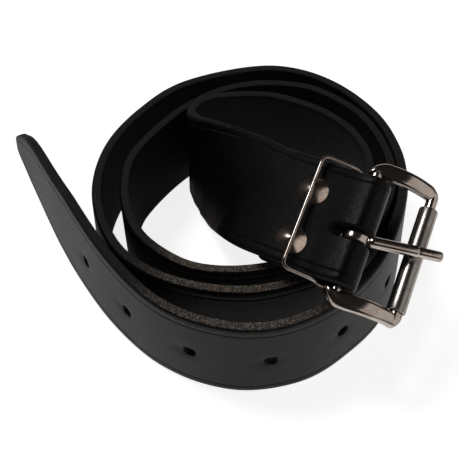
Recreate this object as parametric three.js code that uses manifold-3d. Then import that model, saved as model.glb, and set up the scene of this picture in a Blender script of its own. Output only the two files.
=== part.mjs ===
// A heavy leather work belt, rolled up loosely and standing on its edge. One long strap winds inwards
// from its pointed tip, then folds, climbs over its own turns and ends in a roller buckle that lies on
// their rims. Millimetres, +Z up. The origin is on the floor, under the middle of the whole belt.
import * as THREE from "three";
import { mergeVertices } from "three/addons/utils/BufferGeometryUtils.js";
import Module from "manifold-3d";

const wasm = await Module();
wasm.setup();

// Strap
const strapWidth = 40;
const strapThickness = 3.8;
const grainChamfer = 0.8;
const fit = 0.3;
const layerGap = 0.45;
const turnedBackLength = 27;
const holeDiameter = 4.6;
const firstHole = 74.6;
const holeSpacing = 28;
const holeCount = 6;

// Where the middle of the footprint lies in the coordinates of the route below
const middle = new THREE.Vector2(-9.2, -7.98);

// Buckle: the centre bar is its origin, x runs to the tongue's tip, y across the strap, z out of the grain
const barCentre = new THREE.Vector3(42.9, -45.4, 52.6);
const barHeading = -22;
const barSlope = -2;
const barLean = 71;
const droop = 18.6;
const strapAcross = -0.6;
const barRadius = 2.3;
const barSides = 16;
const windowHalf = 21.3;
const armWidth = 6.1;
const armThickness = 2.8;
const armEdge = 0.8;
const armCamber = 2.4;
const rollerReach = 21.6;
const rollerRadius = 3.3;
const rollerLength = 38.8;
const rollerRim = 0.4;
const axleRadius = 2;
const axleEnds = 1.7;
const keeperReach = 20;
const keeperHalfAtBar = 21.9;
const keeperHalfAtEnd = 21.4;
const keeperAcross = -0.5;
const keeperRise = 1.8;
const keeperCorner = 3.2;
const keeperWire = 0.8;
const tongueAcross = -2.7;
const tongueSkew = 11;
const tongueRadius = 1.9;
const tongueRise = 5.5;
const tongueTip = 30.4;
const tongueStep = 22.4;
const neckWidth = 3.4;
const neckThickness = 1.8;
const neckEnd = 5.2;
const neckOverlap = 0.4;
const shaftStep = 0.15;
const shaftEdge = 0.4;
const eyeFit = 0.35;
const slotEnd = -9.3;
const slotHalfAtEnd = 2.3;
const slotHalfAtFold = 2.95;
const rivetAcross = 9.6;
const rivetShift = -1.2;
const rivetBehindBar = 18.6;
const rivetCapRadius = 5.1;
const rivetCapHeight = 1.4;
const rivetShank = 1.7;
const rivetBackRadius = 3.8;
const rivetBackHeight = 1;
const rivetEdge = 0.4;

const degrees = THREE.MathUtils.degToRad;
const up = new THREE.Vector3(0, 0, 1);

// The strap's centre line where it stands on its edge: place on the floor, how far the edge is lifted
// off it, and how far the top leans inwards. The tip comes first, and the turns wind inwards from it.
const standing = [
  // x, y, lift, lean
  [-89.9, 32.4, 0, 5],
  [-81.1, 17.7, 0, 5],
  [-65.1, -11.7, 0, 5],
  [-44.6, -43.7, 0, 3.2],
  [-28.8, -61.1, 0, 1],
  [-18.5, -68.2, 0, 0],
  [-8.9, -72.3, 0, 0],
  [3.6, -74.9, 0, 0],
  [16.2, -74.0, 0, 0],
  [29.2, -69.4, 0, 1.5],
  [41.7, -60.5, 0, 2],
  [55.6, -44.5, 0, 5],
  [65.3, -19.5, 0, 4],
  [67.3, -5.2, 0, 3],
  [66.6, 8.2, 0, 2.5],
  [60.6, 27.5, 0, 2],
  [46.2, 46.2, 0, 2],
  [30.2, 56.0, 0, 2],
  [13.4, 58.2, 0, 2],
  [-20.1, 47.1, 0, 2],
  [-35.6, 31.7, 0, 2],
  [-47.0, 12.0, 0, 2],
  [-50.6, -9.4, 0, 2],
  [-46.9, -28.8, 0, 2],
  [-37.1, -45.0, 0, 1],
  [-19.5, -55.9, 0, 0],
  [3.7, -60.2, 0, 0],
  [20.2, -57.3, 0, 0],
  [33.0, -51.5, 0, 0],
  [44.5, -41.0, 0, 0],
  [53.5, -27.0, 0, 0],
  [60.0, -12.0, 0, 0],
  [61.9, 0.0, 0, 0],
  [61.0, 10.8, 0, 0],
  [58.3, 19.6, 0, 0],
  [52.2, 30.6, 0, 0],
  [38.9, 42.4, 0, 0],
  [30.0, 46.3, 0, 0],
  [17.2, 47.9, 0, 0],
  [8.8, 47.2, 0, 0],
  [-3.3, 43.4, 0, 0],
  [-19.0, 31.7, 0, 0],
  [-33.6, 12.6, 0, 0],
  [-38.8, 0.9, 0, 0],
  [-38.5, -19.3, 0, 0],
  [-32.1, -35.2, 0, 0],
  [-19.5, -46.5, 0, 0],
  [-9.5, -50.6, 0, 0],
  [7.2, -51.1, 0, 0],
  [28.0, -45.0, 0, 0],
  [39.0, -35.0, 0, 0],
  [47.5, -22.0, 0, 0],
  [54.6, 0.6, 0, 0],
  [50.5, 16.6, 0, 0],
  [36.3, 32.4, 0, 0],
  [28.7, 37.8, 0, 0],
  [8.8, 39.5, 1, 0],
  [-2.4, 37.3, 2, 0],
];

// The same centre line where the strap folds back, climbs over its turns and lies down on their rims
const climbing = [
  // x, y, z, lean
  [-10.2, 32.8, 23.0, -2],
  [-14.1, 26.8, 23.8, -2],
  [-15.0, 19.5, 25.6, 1],
  [-12.6, 12.6, 27.6, 9],
  [-8.2, 6.5, 29.8, 21],
  [-2.0, -1.8, 33.7, 34],
  [4.9, -13.6, 41.4, 47],
  [11.4, -27.0, 50.5, 60],
];

// Its last stretch before the centre bar, in the buckle's own directions
const lying = [
  // x, y, z, lean
  [-27, 1.0, 1.2, 69.5],
  [-18, 0, 3.2, 71],
  [-9, -0.5, 4.2, barLean],
  [0, strapAcross, 4.5, barLean],
];

// The strap's width from the tip's end onwards
const tipWidths = [
  // distance, width
  [0, 5],
  [1.5, 9.5],
  [6, 15.8],
  [13, 25.2],
  [24, 30.6],
  [39, 34.9],
  [51, 37.9],
  [60, strapWidth],
];

// Directions of a strip that runs along a tangent: across it, and out of its grain side. A positive
// lean tips its upper edge towards the inner side of the coil.
function stripDirections(tangent, lean) {
  const side = new THREE.Vector3().crossVectors(tangent, up).normalize();
  const rise = new THREE.Vector3().crossVectors(side, tangent);
  const angle = degrees(lean);
  const across = rise.clone().multiplyScalar(Math.cos(angle)).addScaledVector(side, -Math.sin(angle));
  const out = new THREE.Vector3().crossVectors(tangent, across);
  return { across, out };
}

// The buckle's own directions at the centre bar
function buckleMatrix() {
  const heading = degrees(barHeading);
  const slope = degrees(barSlope);
  const along = new THREE.Vector3(
    Math.cos(heading) * Math.cos(slope),
    Math.sin(heading) * Math.cos(slope),
    Math.sin(slope),
  );
  const { across, out } = stripDirections(along, barLean);
  return new THREE.Matrix4().makeBasis(along, across, out).setPosition(barCentre);
}

// Solids for joining and cutting, and back to geometry
function solid(geometry) {
  const bare = geometry.clone();
  bare.deleteAttribute("normal");
  bare.deleteAttribute("uv");
  const merged = mergeVertices(bare, 1e-4);
  const vertProperties = new Float32Array(merged.attributes.position.array);
  const triVerts = new Uint32Array(merged.index.array);
  return new wasm.Manifold(new wasm.Mesh({ numProp: 3, vertProperties, triVerts }));
}

function geometryOf(body) {
  const mesh = body.getMesh();
  const geometry = new THREE.BufferGeometry();
  geometry.setAttribute("position", new THREE.BufferAttribute(new Float32Array(mesh.vertProperties), 3));
  geometry.setIndex(new THREE.BufferAttribute(new Uint32Array(mesh.triVerts), 1));
  geometry.computeVertexNormals();
  return geometry;
}

function pieceMesh(name, geometry, finish) {
  const mesh = new THREE.Mesh(geometry, finish);
  mesh.name = name;
  return mesh;
}

// How high the centre line is when the strap's lower corner touches the floor
function restingHeight(lean) {
  const angle = degrees(Math.abs(lean));
  return (strapWidth * Math.cos(angle) + strapThickness * Math.sin(angle)) / 2;
}

// The whole strap's centre line from the tip to the bar, and its lean, both by row number
function strapRoute(buckle) {
  const upright = standing.map(([x, y, lift, lean]) => {
    return { place: new THREE.Vector3(x, y, lift + restingHeight(lean)), lean };
  });
  const rising = climbing.map(([x, y, z, lean]) => ({ place: new THREE.Vector3(x, y, z), lean }));
  const flat = lying.map(([x, y, z, lean]) => {
    return { place: new THREE.Vector3(x, y, z).applyMatrix4(buckle), lean };
  });
  const rows = [...upright, ...rising, ...flat];
  return {
    rows: rows.length,
    centre: new THREE.CatmullRomCurve3(rows.map((row) => row.place)),
    lean: new THREE.CatmullRomCurve3(
      rows.map((row) => new THREE.Vector3(row.lean, 0, 0)),
      false,
      "catmullrom",
    ),
  };
}

function widthAt(distance) {
  const next = tipWidths.findIndex(([mark]) => mark > distance);
  if (next < 1) {
    return next === 0 ? tipWidths[0][1] : strapWidth;
  }
  const [start, startWidth] = tipWidths[next - 1];
  const [end, endWidth] = tipWidths[next];
  return THREE.MathUtils.mapLinear(distance, start, end, startWidth, endWidth);
}

// Fine samples of the route, each with its distance from the tip
function strapSamples(route) {
  const perRow = 16;
  const count = (route.rows - 1) * perRow;
  const samples = [];
  let distance = 0;
  for (let step = 0; step <= count; step += 1) {
    const centre = route.centre.getPoint(step / count);
    const tangent = route.centre.getTangent(step / count);
    const lean = route.lean.getPoint(step / count).x;
    centre.z = Math.max(centre.z, restingHeight(lean));
    if (step > 0) {
      distance += centre.distanceTo(samples[step - 1].centre);
    }
    samples.push({ centre, tangent, distance, ...stripDirections(tangent, lean) });
  }
  return samples;
}

// The samples that the solid needs: one at each mark of the tip, and one wherever the strap has turned
// or run on far enough since the last, closer together where it is riveted
function strapStations(samples) {
  const mostTurn = degrees(8.5);
  const riveted = samples[samples.length - 1].distance - turnedBackLength;
  const marks = tipWidths.map(([mark]) => mark);
  const stations = [samples[0]];
  let passed = 1;
  for (const sample of samples.slice(1, -1)) {
    const last = stations[stations.length - 1];
    const turn = Math.max(sample.tangent.angleTo(last.tangent), sample.across.angleTo(last.across));
    const atMark = passed < marks.length && sample.distance >= marks[passed];
    if (atMark) {
      passed += 1;
    }
    const mostRun = sample.distance > riveted ? 4 : 11;
    if (atMark || turn > mostTurn || sample.distance - last.distance > mostRun) {
      stations.push(sample);
    }
  }
  return stations.map((station) => ({ ...station, width: widthAt(station.distance) }));
}

// Half a turn round the centre bar
function foldStations(buckle) {
  const radius = barRadius + fit + strapThickness / 2;
  const steps = 9;
  const across = new THREE.Vector3().setFromMatrixColumn(buckle, 1);
  const stations = [];
  for (let step = 0; step <= steps; step += 1) {
    const angle = Math.PI / 2 - (Math.PI * step) / steps;
    const out = new THREE.Vector3(Math.cos(angle), 0, Math.sin(angle)).transformDirection(buckle);
    const centre = barCentre.clone().addScaledVector(out, radius).addScaledVector(across, strapAcross);
    stations.push({ centre, across, out, width: strapWidth });
  }
  return stations;
}

// The end that is turned back and riveted lies under the front layer, flesh side to flesh side
function turnedBackStations(front) {
  const end = front[front.length - 1].distance;
  const apartAtBar = 2 * (barRadius + fit) + strapThickness;
  const apartRiveted = strapThickness + layerGap;
  const closing = 12;
  const covered = front.filter((station) => end - station.distance < turnedBackLength);
  return covered.reverse().map(({ centre, across, out, distance, width }) => {
    const closed = THREE.MathUtils.smoothstep(end - distance, 0, closing);
    const apart = THREE.MathUtils.lerp(apartAtBar, apartRiveted, closed);
    return {
      centre: centre.clone().addScaledVector(out, -apart),
      across,
      out: out.clone().negate(),
      width,
    };
  });
}

// A straight strip with its grain corners cut, extruded in one step for each station and then bent
function bentStrip(stations) {
  const half = strapThickness / 2;
  const edge = 0.5;
  const inset = edge - grainChamfer / strapWidth;
  const section = new THREE.Shape();
  section.moveTo(-edge, -half);
  section.lineTo(edge, -half);
  section.lineTo(edge, half - grainChamfer);
  section.lineTo(inset, half);
  section.lineTo(-inset, half);
  section.lineTo(-edge, half - grainChamfer);
  const steps = stations.length - 1;
  const strip = new THREE.ExtrudeGeometry(section, { steps, depth: steps, bevelEnabled: false });
  const points = strip.attributes.position;
  for (let i = 0; i < points.count; i += 1) {
    const station = stations[Math.round(points.getZ(i))];
    const point = station.centre.clone();
    point.addScaledVector(station.across, points.getX(i) * station.width);
    point.addScaledVector(station.out, points.getY(i));
    points.setXYZ(i, point.x, point.y, point.z);
  }
  return strip;
}

// A punch for one round hole through the strap
function punchAt(sample, radius, sides) {
  const punch = new THREE.CylinderGeometry(radius, radius, 3 * strapThickness, sides);
  const along = new THREE.Vector3().crossVectors(sample.across, sample.out);
  punch.applyMatrix4(new THREE.Matrix4().makeBasis(along, sample.out, sample.across.clone().negate()));
  return punch.translate(sample.centre.x, sample.centre.y, sample.centre.z);
}

// The tongue's slot: round at its inner end, wider where it goes round the fold
function slotCutter(buckle) {
  const roundCentre = slotEnd + slotHalfAtEnd;
  const foldFace = barRadius + fit + strapThickness;
  const outline = new THREE.Shape();
  outline.moveTo(foldFace + 1, tongueAcross - slotHalfAtFold);
  outline.lineTo(foldFace + 1, tongueAcross + slotHalfAtFold);
  outline.lineTo(roundCentre, tongueAcross + slotHalfAtEnd);
  outline.absarc(roundCentre, tongueAcross, slotHalfAtEnd, Math.PI / 2, Math.PI * 1.5, false);
  const depth = 5 * strapThickness;
  const cutter = new THREE.ExtrudeGeometry(outline, { depth, bevelEnabled: false, curveSegments: 6 });
  return cutter.translate(0, 0, -depth / 2).applyMatrix4(buckle);
}

function strapPiece(buckle, samples, finish) {
  const front = strapStations(samples);
  const stations = [...front, ...foldStations(buckle), ...turnedBackStations(front)];
  let body = solid(bentStrip(stations));
  for (let hole = 0; hole < holeCount; hole += 1) {
    const distance = firstHole + hole * holeSpacing;
    const sample = samples.find((candidate) => candidate.distance >= distance);
    body = body.subtract(solid(punchAt(sample, holeDiameter / 2, 12)));
  }
  body = body.subtract(solid(slotCutter(buckle)));
  for (const side of [-1, 1]) {
    const length = 6 * strapThickness;
    const drill = new THREE.CylinderGeometry(rivetShank + fit, rivetShank + fit, length, 10);
    body = body.subtract(solid(drill.applyMatrix4(rivetMatrix(samples, side))));
  }
  return pieceMesh("strap", geometryOf(body), finish);
}

// Where a rivet stands: y runs out of the grain from the middle of the front layer
function rivetMatrix(samples, side) {
  const end = samples[samples.length - 1].distance;
  const sample = samples.find((candidate) => candidate.distance >= end - rivetBehindBar);
  const { across, out } = sample;
  const place = sample.centre.clone().addScaledVector(across, rivetShift + side * rivetAcross);
  const along = new THREE.Vector3().crossVectors(across, out);
  return new THREE.Matrix4().makeBasis(across, out, along).setPosition(place);
}

function rivetPiece(name, matrix, finish) {
  const capBase = strapThickness / 2 + 1.5 * fit;
  const backBase = -1.5 * strapThickness - layerGap - 2 * fit;
  const backTop = backBase - rivetBackHeight;
  const profile = [
    [0, backTop],
    [rivetBackRadius - rivetEdge, backTop],
    [rivetBackRadius, backBase - rivetEdge],
    [rivetBackRadius, backBase],
    [rivetShank, backBase],
    [rivetShank, capBase],
    [rivetCapRadius, capBase],
    [rivetCapRadius, capBase + rivetEdge],
    [0.8 * rivetCapRadius, capBase + 0.6 * rivetCapHeight],
    [0.45 * rivetCapRadius, capBase + 0.93 * rivetCapHeight],
    [0, capBase + rivetCapHeight],
  ];
  const rivet = new THREE.LatheGeometry(profile.map(([x, y]) => new THREE.Vector2(x, y)), 14);
  return pieceMesh(name, geometryOf(solid(rivet.applyMatrix4(matrix))), finish);
}

// One side arm of the frame, seen from above: it starts narrow at the bar, runs straight beside the
// strap and turns in at the front corner to carry the axle
function armOutline() {
  const outer = windowHalf + armWidth - armEdge;
  const inner = windowHalf + armEdge;
  const start = -2.4 + armEdge;
  const front = rollerReach + 2.6 - armEdge;
  const corner = 7;
  const outline = new THREE.Shape();
  outline.moveTo(start, inner);
  outline.bezierCurveTo(start, outer - 2.5, -0.6, outer - 0.4, 3, outer - 0.2);
  for (const share of [0.25, 0.5, 0.75, 1]) {
    outline.lineTo(THREE.MathUtils.lerp(3, front - corner, share), outer);
  }
  outline.bezierCurveTo(front - 2.6, outer, front, outer - 2.4, front, inner);
  for (const share of [0.2, 0.4, 0.6, 0.8]) {
    outline.lineTo(THREE.MathUtils.lerp(front, start, share), inner);
  }
  return outline;
}

function armGeometry() {
  const arm = new THREE.ExtrudeGeometry(armOutline(), {
    depth: armThickness - 2 * armEdge,
    bevelThickness: armEdge,
    bevelSize: armEdge,
    bevelSegments: 2,
    curveSegments: 6,
  });
  return arm.translate(0, 0, armEdge - armThickness / 2);
}

// The arms arch up between the bar and the roller
function camber(geometry) {
  const points = geometry.attributes.position;
  for (let i = 0; i < points.count; i += 1) {
    const share = THREE.MathUtils.clamp(points.getX(i) / rollerReach, 0, 1);
    points.setZ(i, points.getZ(i) + armCamber * Math.sin(Math.PI * share));
  }
  return geometry;
}

// The keeper is one wire that stands over the strap, soldered to the frame beside the bar's ends. It
// rises and draws in a little towards its far end.
function keeperGeometry() {
  const point = (reach, side) => {
    const share = reach / keeperReach;
    const half = THREE.MathUtils.lerp(keeperHalfAtBar, keeperHalfAtEnd, share);
    return new THREE.Vector3(-reach, side * half + keeperAcross * share, keeperRise * share);
  };
  const turn = keeperReach - keeperCorner;
  const straight = keeperHalfAtEnd - keeperCorner;
  const bend = (side) => new THREE.Vector3(-keeperReach, side * straight + keeperAcross, keeperRise);
  const path = new THREE.CurvePath();
  path.add(new THREE.LineCurve3(point(0, 1), point(turn, 1)));
  path.add(new THREE.QuadraticBezierCurve3(point(turn, 1), point(keeperReach, 1), bend(1)));
  path.add(new THREE.LineCurve3(bend(1), bend(-1)));
  path.add(new THREE.QuadraticBezierCurve3(bend(-1), point(keeperReach, -1), point(turn, -1)));
  path.add(new THREE.LineCurve3(point(turn, -1), point(0, -1)));
  const wire = new THREE.Shape().absarc(0, 0, keeperWire, 0, 2 * Math.PI, false);
  return new THREE.ExtrudeGeometry(wire, { steps: 48, extrudePath: path, curveSegments: 4 });
}

function framePiece(finish) {
  const length = 2 * (windowHalf + axleEnds);
  const bar = new THREE.CylinderGeometry(barRadius, barRadius, length, barSides);
  const axle = new THREE.CylinderGeometry(axleRadius, axleRadius, length, barSides);
  axle.translate(rollerReach, 0, 0);
  const body = solid(camber(armGeometry()))
    .add(solid(camber(armGeometry().rotateX(Math.PI))))
    .add(solid(bar))
    .add(solid(axle))
    .add(solid(keeperGeometry()));
  return pieceMesh("buckle_frame", geometryOf(body), finish);
}

function rollerPiece(finish) {
  const half = rollerLength / 2;
  const profile = [
    [axleRadius + fit, -half],
    [rollerRadius - rollerRim, -half],
    [rollerRadius, rollerRim - half],
    [rollerRadius, half - rollerRim],
    [rollerRadius - rollerRim, half],
    [axleRadius + fit, half],
    [axleRadius + fit, -half],
  ];
  const roller = new THREE.LatheGeometry(profile.map(([x, y]) => new THREE.Vector2(x, y)), 20);
  const mesh = pieceMesh("roller", geometryOf(solid(roller)), finish);
  mesh.position.x = rollerReach;
  return mesh;
}

// The tongue: an eye round the bar, a flat neck and a round shaft that is set slightly askew and lies
// on the roller
function tonguePiece(finish) {
  const inner = barRadius + eyeFit;
  const outer = inner + neckThickness;
  const level = (inner + outer) / 2;
  const half = neckWidth / 2;
  const ring = [
    [inner, -half],
    [outer, -half],
    [outer, half],
    [inner, half],
    [inner, -half],
  ];
  const eye = new THREE.LatheGeometry(ring.map(([x, y]) => new THREE.Vector2(x, y)), barSides);
  const neckLength = neckEnd + neckOverlap;
  const neck = new THREE.BoxGeometry(neckLength, neckWidth, neckThickness);
  neck.translate(neckLength / 2, 0, level);
  const shaftLength = tongueTip - neckEnd;
  const stepAt = tongueStep - neckEnd;
  const tipRadius = tongueRadius - shaftStep;
  const profile = [
    [0, 0],
    [tongueRadius - shaftEdge, 0],
    [tongueRadius, shaftEdge],
    [tongueRadius, stepAt],
    [tipRadius, stepAt + shaftEdge],
    [tipRadius, shaftLength - 2 * shaftEdge],
    [tipRadius - shaftEdge, shaftLength - shaftEdge],
    [tipRadius - 2 * shaftEdge, shaftLength],
    [0, shaftLength],
  ];
  const shaft = new THREE.LatheGeometry(profile.map(([x, y]) => new THREE.Vector2(x, y)), 14);
  shaft.rotateZ(degrees(tongueSkew) - Math.PI / 2).translate(neckEnd, 0, level);
  const body = solid(eye).add(solid(neck)).add(solid(shaft));
  return pieceMesh("tongue", geometryOf(body), finish);
}

function workBelt() {
  const leather = new THREE.MeshStandardMaterial({ color: 0x151416, roughness: 0.5, metalness: 0 });
  const nickel = new THREE.MeshStandardMaterial({ color: 0xcfc8c0, roughness: 0.18, metalness: 1 });
  const buckle = buckleMatrix();
  const samples = strapSamples(strapRoute(buckle));
  const belt = new THREE.Group();
  belt.position.set(-middle.x, -middle.y, 0);
  belt.add(strapPiece(buckle, samples, leather));
  belt.add(rivetPiece("rivet_lower", rivetMatrix(samples, -1), nickel));
  belt.add(rivetPiece("rivet_upper", rivetMatrix(samples, 1), nickel));

  const buckleEnd = new THREE.Group();
  buckleEnd.applyMatrix4(buckle);
  belt.add(buckleEnd);
  const frame = new THREE.Group();
  frame.rotation.y = degrees(droop);
  buckleEnd.add(frame);
  frame.add(framePiece(nickel));
  frame.add(rollerPiece(nickel));
  const tongue = tonguePiece(nickel);
  tongue.position.y = tongueAcross;
  tongue.rotation.y = -degrees(tongueRise);
  frame.add(tongue);
  belt.updateMatrixWorld(true);
  return belt;
}

export default workBelt();
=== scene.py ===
import math

import bmesh
import bpy
import numpy as np
from mathutils import Matrix, Vector


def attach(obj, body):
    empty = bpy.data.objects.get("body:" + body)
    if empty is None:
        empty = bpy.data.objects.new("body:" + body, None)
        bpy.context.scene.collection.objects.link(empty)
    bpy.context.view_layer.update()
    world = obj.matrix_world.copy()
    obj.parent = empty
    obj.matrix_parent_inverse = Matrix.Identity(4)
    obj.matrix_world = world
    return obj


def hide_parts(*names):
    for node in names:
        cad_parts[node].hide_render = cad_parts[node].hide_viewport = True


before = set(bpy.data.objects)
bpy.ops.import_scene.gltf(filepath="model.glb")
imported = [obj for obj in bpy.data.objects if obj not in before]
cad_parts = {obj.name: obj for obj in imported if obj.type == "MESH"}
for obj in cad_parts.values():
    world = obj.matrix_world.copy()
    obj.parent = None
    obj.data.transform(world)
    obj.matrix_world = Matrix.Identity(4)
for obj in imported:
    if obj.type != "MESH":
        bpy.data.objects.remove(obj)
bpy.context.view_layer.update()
print("packed belt loaded:", ", ".join(sorted(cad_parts)))

# Pieces are drawn in millimetres, in the coordinates of the strap's route, and finished in metres.
footprintMiddle = Vector((-9.2, -7.98, 0))
toMetres = Matrix.Scale(0.001, 4) @ Matrix.Translation(-footprintMiddle)


class Wire:
    # a socket of a finish that can be used in sums
    def __init__(self, finish, socket):
        self.finish = finish
        self.socket = socket

    def sum(self, operation, *values):
        return self.finish.node("ShaderNodeMath", {"operation": operation}, dict(enumerate(values)))

    def __add__(self, other):
        return self.sum("ADD", self, other)

    def __radd__(self, other):
        return self.sum("ADD", other, self)

    def __sub__(self, other):
        return self.sum("SUBTRACT", self, other)

    def __rsub__(self, other):
        return self.sum("SUBTRACT", other, self)

    def __mul__(self, other):
        return self.sum("MULTIPLY", self, other)

    def __rmul__(self, other):
        return self.sum("MULTIPLY", other, self)

    def __pow__(self, other):
        return self.sum("POWER", self, other)


class Finish:
    # one material and the nodes in it
    def __init__(self, name):
        self.material = bpy.data.materials.new(name)
        self.material.use_nodes = True
        self.tree = self.material.node_tree
        self.tree.nodes.clear()

    def node(self, kind, settings, values, output=0):
        made = self.tree.nodes.new(kind)
        for key, value in settings.items():
            setattr(made, key, value)
        for key, value in values.items():
            if isinstance(value, Wire):
                self.tree.links.new(value.socket, made.inputs[key])
            else:
                made.inputs[key].default_value = value
        return Wire(self, made.outputs[output]) if output is not None else None

    def place(self):
        return self.node("ShaderNodeTexCoord", {}, {}, "Object")

    def step(self, value, low, high):
        # 0 below low, 1 above high, smooth in between
        ends = {"Value": value, "From Min": low, "From Max": high}
        return self.node("ShaderNodeMapRange", {"interpolation_type": "SMOOTHSTEP"}, ends)

    def mix(self, share, first, second):
        return self.node("ShaderNodeMix", {"data_type": "RGBA"}, {0: share, 6: first, 7: second}, 2)

    def grain(self, place, scale, detail, roughness):
        values = {"Vector": place, "Scale": scale, "Detail": detail, "Roughness": roughness}
        return self.node("ShaderNodeTexNoise", {}, values)

    def pebbles(self, place, scale):
        return self.node("ShaderNodeTexVoronoi", {"feature": "SMOOTH_F1"}, {"Vector": place, "Scale": scale})

    def distance(self, place, other):
        return self.node("ShaderNodeVectorMath", {"operation": "DISTANCE"}, {0: place, 1: other}, "Value")

    def part(self, vector, axis):
        return self.node("ShaderNodeSeparateXYZ", {}, {"Vector": vector}, axis)

    def stretched(self, place, scales):
        return self.node("ShaderNodeMapping", {}, {"Vector": place, "Scale": scales})

    def bump(self, height, strength, depth):
        values = {"Height": height, "Strength": strength, "Distance": depth}
        return self.node("ShaderNodeBump", {}, values)

    def surface(self, values):
        shader = self.node("ShaderNodeBsdfPrincipled", {}, values)
        self.node("ShaderNodeOutputMaterial", {}, {"Surface": shader}, None)
        return self.material


# Camera, floor and light

studio = {
    "eye": (9.2, -209.92, 259.7),
    "target": (9.2, 7.98, 0.0),
    "lens": 62.9,
    "sensor": 36,
    "nearestSeen": 0.01,
    "floorSize": 8.0,
    "floorDrop": 0.0002,
    "floorColour": (0.86, 0.86, 0.86, 1),
    "floorGlow": 0.84,
    # what the gloss mirrors: bright floor round the belt, dim inside the coil and far off
    "floorMirrored": (0.5, 0.49, 0.48, 1),
    "floorShaded": (0.135, 0.117, 0.115, 1),
    "shadedInside": (-0.005, -0.005, 0, 0.03, 0.055),
    "shadedBeyond": (0.3, 0.1, 0, 0.32, 0.62),
    "roomColour": (0.012, 0.0108, 0.01, 1),
    "backdropColour": (0.98, 0.98, 0.98, 1),
    # place, target, width, height, watts, colour
    "lamps": {
        "ceilingBounce": ((-0.766, 0.477, 1.69), (0, 0, 0), 0.5, 0.6, 9.8, (1, 0.985, 0.965)),
        "sideCard": ((1.22, -0.6, 0.9), (0, 0, 0.04), 2.3, 1.36, 4.9, (1, 0.91, 0.85)),
    },
}


def aimed(place, target):
    return (Vector(target) - Vector(place)).to_track_quat("-Z", "Y").to_euler()


def makeCamera():
    data = bpy.data.cameras.new("camera")
    data.lens = studio["lens"]
    data.sensor_width = studio["sensor"]
    data.clip_start = studio["nearestSeen"]
    camera = bpy.data.objects.new("camera", data)
    camera.location = Vector(studio["eye"]) * 0.001
    camera.rotation_euler = aimed(studio["eye"], studio["target"])
    bpy.context.scene.collection.objects.link(camera)
    bpy.context.scene.camera = camera


def makeFloor():
    bm = bmesh.new()
    bmesh.ops.create_grid(bm, x_segments=1, y_segments=1, size=studio["floorSize"] / 2)
    bmesh.ops.translate(bm, vec=(0, 0, -studio["floorDrop"]), verts=bm.verts)
    mesh = bpy.data.meshes.new("floor")
    bm.to_mesh(mesh)
    bm.free()
    floor = bpy.data.objects.new("floor", mesh)
    bpy.context.scene.collection.objects.link(floor)
    # the camera sees a whiter floor than the gloss mirrors
    paper = Finish("whitePaper")
    shade = []
    for *middle, near, far in (studio["shadedInside"], studio["shadedBeyond"]):
        away = paper.distance(paper.place(), middle)
        shade.append(paper.step(away, near, far))
    lit = shade[0] * (1 - shade[1])
    mirrored = paper.mix(lit, studio["floorShaded"], studio["floorMirrored"])
    sheets = []
    for glow, colour in ((1, mirrored), (studio["floorGlow"], (1, 1, 1, 1))):
        values = {"Base Color": studio["floorColour"], "Roughness": 0.9, "Specular IOR Level": 0.1}
        values.update({"Emission Color": colour, "Emission Strength": glow})
        sheets.append(paper.node("ShaderNodeBsdfPrincipled", {}, values))
    seen = paper.node("ShaderNodeLightPath", {}, {}, "Is Camera Ray")
    both = paper.node("ShaderNodeMixShader", {}, {0: seen, 1: sheets[0], 2: sheets[1]})
    paper.node("ShaderNodeOutputMaterial", {}, {"Surface": both}, None)
    mesh.materials.append(paper.material)


def makeLamps():
    for name, (place, target, width, height, watts, colour) in studio["lamps"].items():
        data = bpy.data.lights.new(name, "AREA")
        data.shape = "RECTANGLE"
        data.size = width
        data.size_y = height
        data.energy = watts
        data.color = colour
        lamp = bpy.data.objects.new(name, data)
        lamp.location = place
        lamp.rotation_euler = aimed(place, target)
        bpy.context.scene.collection.objects.link(lamp)


def makeRoom():
    # the camera sees a white backdrop, and gloss reflects a dimmer room
    world = bpy.data.worlds.new("room")
    bpy.context.scene.world = world
    world.use_nodes = True
    nodes, links = world.node_tree.nodes, world.node_tree.links
    nodes.clear()
    backdrop = nodes.new("ShaderNodeBackground")
    backdrop.inputs["Color"].default_value = studio["backdropColour"]
    room = nodes.new("ShaderNodeBackground")
    room.inputs["Color"].default_value = studio["roomColour"]
    path = nodes.new("ShaderNodeLightPath")
    choice = nodes.new("ShaderNodeMixShader")
    output = nodes.new("ShaderNodeOutputWorld")
    links.new(path.outputs["Is Camera Ray"], choice.inputs[0])
    links.new(room.outputs[0], choice.inputs[1])
    links.new(backdrop.outputs[0], choice.inputs[2])
    links.new(choice.outputs[0], output.inputs["Surface"])
    bpy.context.scene.view_settings.view_transform = "Standard"


makeCamera()
makeFloor()
makeLamps()
makeRoom()
print("camera, floor and light are set")


# Mesh helpers

def loft(bm, rings, closed=True):
    # a sheet of quads through rows of points; a closed one is welded along its seam
    rows, sides = len(rings), len(rings[0])
    columns = sides + 1 if closed else sides
    made = bmesh.ops.create_grid(bm, x_segments=columns - 1, y_segments=rows - 1, size=1)["verts"]
    order = sorted(made, key=lambda v: (round(v.co.y, 6), round(v.co.x, 6)))
    for index, vert in enumerate(order):
        row, column = divmod(index, columns)
        vert.co = rings[row][column % sides]
    if closed:
        seam = {order[row * columns + sides]: order[row * columns] for row in range(rows)}
        bmesh.ops.weld_verts(bm, targetmap=seam)
    return [vert for vert in order if vert.is_valid]


def closeEnds(bm):
    openEdges = [edge for edge in bm.edges if edge.is_boundary]
    bmesh.ops.holes_fill(bm, edges=openEdges, sides=0)


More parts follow.
